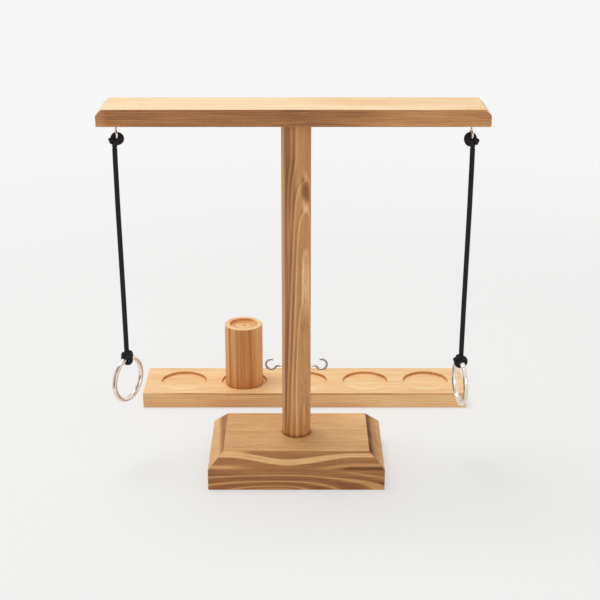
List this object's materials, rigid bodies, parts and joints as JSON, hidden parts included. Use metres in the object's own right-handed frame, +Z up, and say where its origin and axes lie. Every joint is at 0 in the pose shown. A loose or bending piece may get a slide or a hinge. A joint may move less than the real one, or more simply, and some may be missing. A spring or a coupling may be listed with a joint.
{
  "type": "tabletop ring toss",
  "caption": "Tabletop ring toss game: block base, round post and cross beam with a ring on a cord at each end, screw hooks on the post, and a recessed ladder board with a turned marker.",
  "frame": {"origin": "middle of the base's underside, on the axis of the post, at table height", "axes": "+Z up along the post, +X along the beam to the right as seen by a player, +Y away from the player towards the ladder board"},
  "size_m": [0.393, 0.2798, 0.3932],
  "materials": {
    "base_wood": "torched and oiled pine block",
    "post_wood": "stained round dowel with long grain",
    "beam_wood": "torched and oiled pine board, pale top",
    "ladder_wood": "oiled pine board",
    "marker_wood": "turned and stained wood",
    "hook_steel": "bright nickel plate",
    "eye_steel": "bright nickel plate",
    "ring_steel": "polished steel wire",
    "screw_steel": "zinc plated",
    "insert_brass": "plain brass",
    "braided_cord": "black braided cord"
  },
  "bodies": {
    "stand": {"base": "base_wood", "post": "post_wood", "beam": "beam_wood", "base_insert": "insert_brass", "lower_stud": "screw_steel", "beam_insert": "insert_brass", "upper_stud": "screw_steel", "left_hook": "hook_steel", "right_hook": "hook_steel", "left_eye": "eye_steel", "right_eye": "eye_steel"},
    "left_top_knot": {"left_top_knot": "braided_cord"},
    "left_cord": {"left_cord": "braided_cord"},
    "left_bottom_knot": {"left_bottom_knot": "braided_cord"},
    "left_ring": {"left_ring": "ring_steel"},
    "right_top_knot": {"right_top_knot": "braided_cord"},
    "right_cord": {"right_cord": "braided_cord"},
    "right_bottom_knot": {"right_bottom_knot": "braided_cord"},
    "right_ring": {"right_ring": "ring_steel"},
    "ladder": {"ladder": "ladder_wood"},
    "marker": {"marker": "marker_wood"}
  },
  "joints": [
    {"name": "left_swing", "type": "hinge", "parent": "stand", "child": "left_top_knot", "pos_m": [-0.1775, 0, 0.358], "axis": [0, -1, 0], "range_deg": [-60, 23]},
    {"name": "left_fore_aft", "type": "hinge", "parent": "left_top_knot", "child": "left_cord", "pos_m": [-0.1796, 0, 0.35], "axis": [1, 0, 0], "range_deg": [-70, 70]},
    {"name": "left_twist", "type": "hinge", "parent": "left_cord", "child": "left_bottom_knot", "pos_m": [-0.1775, 0, 0.1316], "axis": [0, 0, 1], "range_deg": [-180, 180]},
    {"name": "left_ring_tilt", "type": "hinge", "parent": "left_bottom_knot", "child": "left_ring", "pos_m": [-0.1775, 0, 0.12275], "axis": [0.5, 0.866, 0], "range_deg": [-150, 150]},
    {"name": "right_swing", "type": "hinge", "parent": "stand", "child": "right_top_knot", "pos_m": [0.1725, 0, 0.358], "axis": [0, 1, 0], "range_deg": [-60, 23]},
    {"name": "right_fore_aft", "type": "hinge", "parent": "right_top_knot", "child": "right_cord", "pos_m": [0.1746, 0, 0.35], "axis": [1, 0, 0], "range_deg": [-70, 70]},
    {"name": "right_twist", "type": "hinge", "parent": "right_cord", "child": "right_bottom_knot", "pos_m": [0.1725, 0, 0.1281], "axis": [0, 0, 1], "range_deg": [-180, 180]},
    {"name": "right_ring_tilt", "type": "hinge", "parent": "right_bottom_knot", "child": "right_ring", "pos_m": [0.1725, 0, 0.11925], "axis": [0.1564, -0.9877, 0], "range_deg": [-150, 150]},
    {"name": "ladder_slide", "type": "slide", "parent": "stand", "child": "ladder", "axis": [0, 1, 0], "range_m": [0, 0.15]},
    {"name": "marker_lift", "type": "slide", "parent": "ladder", "child": "marker", "axis": [0, 0, 1], "range_m": [0, 0.03]}
  ]
}
